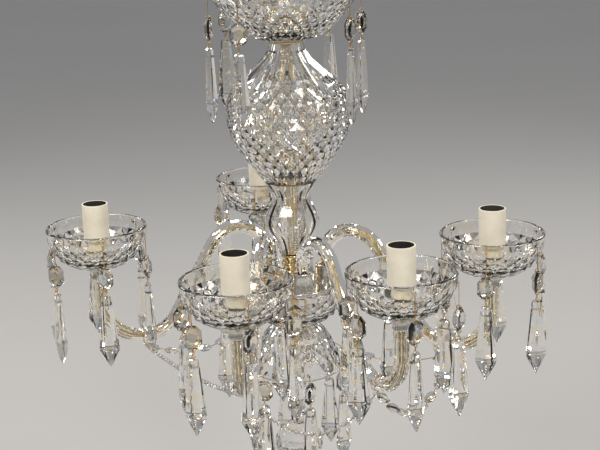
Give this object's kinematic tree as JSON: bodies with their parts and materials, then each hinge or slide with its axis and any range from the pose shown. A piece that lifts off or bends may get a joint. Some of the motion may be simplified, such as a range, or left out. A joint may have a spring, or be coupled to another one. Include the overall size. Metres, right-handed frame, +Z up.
{
  "type": "crystal chandelier",
  "caption": "Cut-crystal chandelier: a turned glass column hung from an eye, curved glass arms with candle pans and ivory sleeves, and free-swinging pointed prism drops.",
  "frame": {"origin": "centre of the hanging eye's bore", "axes": "+Z up along the column; -Y faces the picture's viewer; +X to the viewer's right"},
  "size_m": [0.5193, 0.52, 0.6],
  "materials": {
    "cut_glass": "cut and polished",
    "drop_glass": "cut and polished",
    "brass": "polished",
    "plate_metal": "satin",
    "wire": "satin",
    "holder_plastic": "satin",
    "sleeve_card": "matt"
  },
  "bodies": {
    "root": {"hanging_eye": "brass", "centre_tube": "brass", "column_nuts": "brass", "top_bowl": "cut_glass", "pear_body": "cut_glass", "baluster": "cut_glass", "arm_plate": "plate_metal", "receiver_bowl": "cut_glass", "lower_dome": "cut_glass", "finial": "cut_glass", "glass_arms": "cut_glass", "arm_ferrules": "brass", "candle_pans": "cut_glass", "lampholders": "holder_plastic", "candle_sleeves": "sleeve_card", "bead_swags": "drop_glass", "swag_wires": "wire"},
    "top_drop_1_body": {"top_drop_1": "drop_glass"},
    "top_drop_2_body": {"top_drop_2": "drop_glass"},
    "top_drop_3_body": {"top_drop_3": "drop_glass"},
    "top_drop_4_body": {"top_drop_4": "drop_glass"},
    "top_drop_5_body": {"top_drop_5": "drop_glass"},
    "top_drop_6_body": {"top_drop_6": "drop_glass"},
    "top_drop_7_body": {"top_drop_7": "drop_glass"},
    "pan_c_drop_1_body": {"pan_c_drop_1": "drop_glass"},
    "pan_c_drop_2_body": {"pan_c_drop_2": "drop_glass"},
    "pan_c_drop_3_body": {"pan_c_drop_3": "drop_glass"},
    "pan_c_drop_4_body": {"pan_c_drop_4": "drop_glass"},
    "pan_c_drop_5_body": {"pan_c_drop_5": "drop_glass"},
    "pan_c_drop_6_body": {"pan_c_drop_6": "drop_glass"},
    "pan_d_drop_1_body": {"pan_d_drop_1": "drop_glass"},
    "pan_d_drop_2_body": {"pan_d_drop_2": "drop_glass"},
    "pan_d_drop_3_body": {"pan_d_drop_3": "drop_glass"},
    "pan_d_drop_4_body": {"pan_d_drop_4": "drop_glass"},
    "pan_d_drop_5_body": {"pan_d_drop_5": "drop_glass"},
    "pan_d_drop_6_body": {"pan_d_drop_6": "drop_glass"},
    "pan_e_drop_1_body": {"pan_e_drop_1": "drop_glass"},
    "pan_e_drop_2_body": {"pan_e_drop_2": "drop_glass"},
    "pan_e_drop_3_body": {"pan_e_drop_3": "drop_glass"},
    "pan_e_drop_4_body": {"pan_e_drop_4": "drop_glass"},
    "pan_e_drop_5_body": {"pan_e_drop_5": "drop_glass"},
    "pan_e_drop_6_body": {"pan_e_drop_6": "drop_glass"},
    "pan_a_drop_1_body": {"pan_a_drop_1": "drop_glass"},
    "pan_a_drop_2_body": {"pan_a_drop_2": "drop_glass"},
    "pan_a_drop_3_body": {"pan_a_drop_3": "drop_glass"},
    "pan_a_drop_4_body": {"pan_a_drop_4": "drop_glass"},
    "pan_a_drop_5_body": {"pan_a_drop_5": "drop_glass"},
    "pan_a_drop_6_body": {"pan_a_drop_6": "drop_glass"},
    "pan_b_drop_1_body": {"pan_b_drop_1": "drop_glass"},
    "pan_b_drop_2_body": {"pan_b_drop_2": "drop_glass"},
    "pan_b_drop_3_body": {"pan_b_drop_3": "drop_glass"},
    "pan_b_drop_4_body": {"pan_b_drop_4": "drop_glass"},
    "pan_b_drop_5_body": {"pan_b_drop_5": "drop_glass"},
    "pan_b_drop_6_body": {"pan_b_drop_6": "drop_glass"},
    "dome_drop_1_body": {"dome_drop_1": "drop_glass"},
    "dome_drop_2_body": {"dome_drop_2": "drop_glass"},
    "dome_drop_3_body": {"dome_drop_3": "drop_glass"},
    "dome_drop_4_body": {"dome_drop_4": "drop_glass"},
    "dome_drop_5_body": {"dome_drop_5": "drop_glass"},
    "dome_drop_6_body": {"dome_drop_6": "drop_glass"}
  },
  "joints": [
    {"name": "top_drop_1_swing", "type": "hinge", "parent": "root", "child": "top_drop_1_body", "pos_m": [0.05948, -0.04321, -0.061], "axis": [-0.5878, -0.809, 0], "range_deg": [-3, 6]},
    {"name": "top_drop_2_swing", "type": "hinge", "parent": "root", "child": "top_drop_2_body", "pos_m": [0.07261, 0.0115, -0.061], "axis": [0.1564, -0.9877, 0], "range_deg": [-3, 6]},
    {"name": "top_drop_3_swing", "type": "hinge", "parent": "root", "child": "top_drop_3_body", "pos_m": [0.04321, 0.05948, -0.061], "axis": [0.809, -0.5878, 0], "range_deg": [-3, 6]},
    {"name": "top_drop_4_swing", "type": "hinge", "parent": "root", "child": "top_drop_4_body", "pos_m": [-0.0115, 0.07261, -0.061], "axis": [0.9877, 0.1564, 0], "range_deg": [-3, 6]},
    {"name": "top_drop_5_swing", "type": "hinge", "parent": "root", "child": "top_drop_5_body", "pos_m": [-0.05948, 0.04321, -0.061], "axis": [0.5878, 0.809, 0], "range_deg": [-3, 6]},
    {"name": "top_drop_6_swing", "type": "hinge", "parent": "root", "child": "top_drop_6_body", "pos_m": [-0.07261, -0.0115, -0.061], "axis": [-0.1564, 0.9877, 0], "range_deg": [-3, 6]},
    {"name": "top_drop_7_swing", "type": "hinge", "parent": "root", "child": "top_drop_7_body", "pos_m": [-0.04321, -0.05948, -0.061], "axis": [-0.809, 0.5878, 0], "range_deg": [-3, 6]},
    {"name": "pan_c_drop_1_swing", "type": "hinge", "parent": "root", "child": "pan_c_drop_1_body", "pos_m": [0.10537, -0.23736, -0.30604], "axis": [-0.9907, -0.1357, 0], "range_deg": [-8, 8]},
    {"name": "pan_c_drop_2_swing", "type": "hinge", "parent": "root", "child": "pan_c_drop_2_body", "pos_m": [0.14519, -0.20647, -0.30604], "axis": [-0.3778, -0.9259, 0], "range_deg": [-8, 8]},
    {"name": "pan_c_drop_3_swing", "type": "hinge", "parent": "root", "child": "pan_c_drop_3_body", "pos_m": [0.13835, -0.15654, -0.30604], "axis": [0.6129, -0.7902, 0], "range_deg": [-8, 8]},
    {"name": "pan_c_drop_4_swing", "type": "hinge", "parent": "root", "child": "pan_c_drop_4_body", "pos_m": [0.09169, -0.1375, -0.30604], "axis": [0.9907, 0.1357, 0], "range_deg": [-4, 8]},
    {"name": "pan_c_drop_5_swing", "type": "hinge", "parent": "root", "child": "pan_c_drop_5_body", "pos_m": [0.05187, -0.16839, -0.30604], "axis": [0.3778, 0.9259, 0], "range_deg": [-8, 8]},
    {"name": "pan_c_drop_6_swing", "type": "hinge", "parent": "root", "child": "pan_c_drop_6_body", "pos_m": [0.05871, -0.21832, -0.30604], "axis": [-0.6129, 0.7902, 0], "range_deg": [-8, 8]},
    {"name": "pan_d_drop_1_swing", "type": "hinge", "parent": "root", "child": "pan_d_drop_1_body", "pos_m": [0.23514, -0.10423, -0.30604], "axis": [-0.6984, -0.7157, 0], "range_deg": [-8, 8]},
    {"name": "pan_d_drop_2_swing", "type": "hinge", "parent": "root", "child": "pan_d_drop_2_body", "pos_m": [0.24758, -0.0554, -0.30604], "axis": [0.2706, -0.9627, 0], "range_deg": [-8, 8]},
    {"name": "pan_d_drop_3_swing", "type": "hinge", "parent": "root", "child": "pan_d_drop_3_body", "pos_m": [0.21152, -0.02021, -0.30604], "axis": [0.969, -0.247, 0], "range_deg": [-8, 8]},
    {"name": "pan_d_drop_4_swing", "type": "hinge", "parent": "root", "child": "pan_d_drop_4_body", "pos_m": [0.163, -0.03384, -0.30604], "axis": [0.6984, 0.7157, 0], "range_deg": [-8, 8]},
    {"name": "pan_d_drop_5_swing", "type": "hinge", "parent": "root", "child": "pan_d_drop_5_body", "pos_m": [0.15056, -0.08267, -0.30604], "axis": [-0.2706, 0.9627, 0], "range_deg": [-8, 8]},
    {"name": "pan_d_drop_6_swing", "type": "hinge", "parent": "root", "child": "pan_d_drop_6_body", "pos_m": [0.18662, -0.11787, -0.30604], "axis": [-0.969, 0.247, 0], "range_deg": [-8, 8]},
    {"name": "pan_e_drop_1_swing", "type": "hinge", "parent": "root", "child": "pan_e_drop_1_body", "pos_m": [-0.03003, 0.25435, -0.30604], "axis": [0.993, -0.1184, 0], "range_deg": [-8, 8]},
    {"name": "pan_e_drop_2_swing", "type": "hinge", "parent": "root", "child": "pan_e_drop_2_body", "pos_m": [-0.07635, 0.2345, -0.30604], "axis": [0.599, 0.8007, 0], "range_deg": [-8, 8]},
    {"name": "pan_e_drop_3_swing", "type": "hinge", "parent": "root", "child": "pan_e_drop_3_body", "pos_m": [-0.08231, 0.18446, -0.30604], "axis": [-0.3939, 0.9191, 0], "range_deg": [-8, 8]},
    {"name": "pan_e_drop_4_swing", "type": "hinge", "parent": "root", "child": "pan_e_drop_4_body", "pos_m": [-0.04196, 0.15428, -0.30604], "axis": [-0.993, 0.1184, 0], "range_deg": [-4, 8]},
    {"name": "pan_e_drop_5_swing", "type": "hinge", "parent": "root", "child": "pan_e_drop_5_body", "pos_m": [0.00436, 0.17413, -0.30604], "axis": [-0.599, -0.8007, 0], "range_deg": [-8, 8]},
    {"name": "pan_e_drop_6_swing", "type": "hinge", "parent": "root", "child": "pan_e_drop_6_body", "pos_m": [0.01032, 0.22417, -0.30604], "axis": [0.3939, -0.9191, 0], "range_deg": [-8, 8]},
    {"name": "pan_a_drop_1_swing", "type": "hinge", "parent": "root", "child": "pan_a_drop_1_body", "pos_m": [-0.25314, 0.01685, -0.30604], "axis": [0.2823, 0.9593, 0], "range_deg": [-8, 8]},
    {"name": "pan_a_drop_2_swing", "type": "hinge", "parent": "root", "child": "pan_a_drop_2_body", "pos_m": [-0.24129, -0.03213, -0.30604], "axis": [-0.6896, 0.7242, 0], "range_deg": [-8, 8]},
    {"name": "pan_a_drop_3_swing", "type": "hinge", "parent": "root", "child": "pan_a_drop_3_body", "pos_m": [-0.19295, -0.04636, -0.30604], "axis": [-0.972, -0.2351, 0], "range_deg": [-8, 8]},
    {"name": "pan_a_drop_4_swing", "type": "hinge", "parent": "root", "child": "pan_a_drop_4_body", "pos_m": [-0.15646, -0.01161, -0.30604], "axis": [-0.2823, -0.9593, 0], "range_deg": [-6, 8]},
    {"name": "pan_a_drop_5_swing", "type": "hinge", "parent": "root", "child": "pan_a_drop_5_body", "pos_m": [-0.1683, 0.03737, -0.30604], "axis": [0.6896, -0.7242, 0], "range_deg": [-8, 8]},
    {"name": "pan_a_drop_6_swing", "type": "hinge", "parent": "root", "child": "pan_a_drop_6_body", "pos_m": [-0.21665, 0.0516, -0.30604], "axis": [0.972, 0.2351, 0], "range_deg": [-8, 8]},
    {"name": "pan_b_drop_1_swing", "type": "hinge", "parent": "root", "child": "pan_b_drop_1_body", "pos_m": [-0.0416, -0.24521, -0.30604], "axis": [-0.972, -0.2351, 0], "range_deg": [-8, 8]},
    {"name": "pan_b_drop_2_swing", "type": "hinge", "parent": "root", "child": "pan_b_drop_2_body", "pos_m": [-0.00511, -0.21046, -0.30604], "axis": [-0.2823, -0.9593, 0], "range_deg": [-8, 8]},
    {"name": "pan_b_drop_3_swing", "type": "hinge", "parent": "root", "child": "pan_b_drop_3_body", "pos_m": [-0.01696, -0.16148, -0.30604], "axis": [0.6896, -0.7242, 0], "range_deg": [-8, 8]},
    {"name": "pan_b_drop_4_swing", "type": "hinge", "parent": "root", "child": "pan_b_drop_4_body", "pos_m": [-0.0653, -0.14725, -0.30604], "axis": [0.972, 0.2351, 0], "range_deg": [-6, 8]},
    {"name": "pan_b_drop_5_swing", "type": "hinge", "parent": "root", "child": "pan_b_drop_5_body", "pos_m": [-0.10179, -0.182, -0.30604], "axis": [0.2823, 0.9593, 0], "range_deg": [-8, 8]},
    {"name": "pan_b_drop_6_swing", "type": "hinge", "parent": "root", "child": "pan_b_drop_6_body", "pos_m": [-0.08994, -0.23098, -0.30604], "axis": [-0.6896, 0.7242, 0], "range_deg": [-8, 8]},
    {"name": "dome_drop_1_swing", "type": "hinge", "parent": "root", "child": "dome_drop_1_body", "pos_m": [0.01191, -0.04443, -0.458], "axis": [-0.9659, -0.2588, 0], "range_deg": [-4, 6]},
    {"name": "dome_drop_2_swing", "type": "hinge", "parent": "root", "child": "dome_drop_2_body", "pos_m": [0.04443, -0.01191, -0.458], "axis": [-0.2588, -0.9659, 0], "range_deg": [-4, 6]},
    {"name": "dome_drop_3_swing", "type": "hinge", "parent": "root", "child": "dome_drop_3_body", "pos_m": [0.03253, 0.03253, -0.458], "axis": [0.7071, -0.7071, 0], "range_deg": [-4, 6]},
    {"name": "dome_drop_4_swing", "type": "hinge", "parent": "root", "child": "dome_drop_4_body", "pos_m": [-0.01191, 0.04443, -0.458], "axis": [0.9659, 0.2588, 0], "range_deg": [-4, 6]},
    {"name": "dome_drop_5_swing", "type": "hinge", "parent": "root", "child": "dome_drop_5_body", "pos_m": [-0.04443, 0.01191, -0.458], "axis": [0.2588, 0.9659, 0], "range_deg": [-4, 6]},
    {"name": "dome_drop_6_swing", "type": "hinge", "parent": "root", "child": "dome_drop_6_body", "pos_m": [-0.03253, -0.03253, -0.458], "axis": [-0.7071, 0.7071, 0], "range_deg": [-4, 6]}
  ]
}
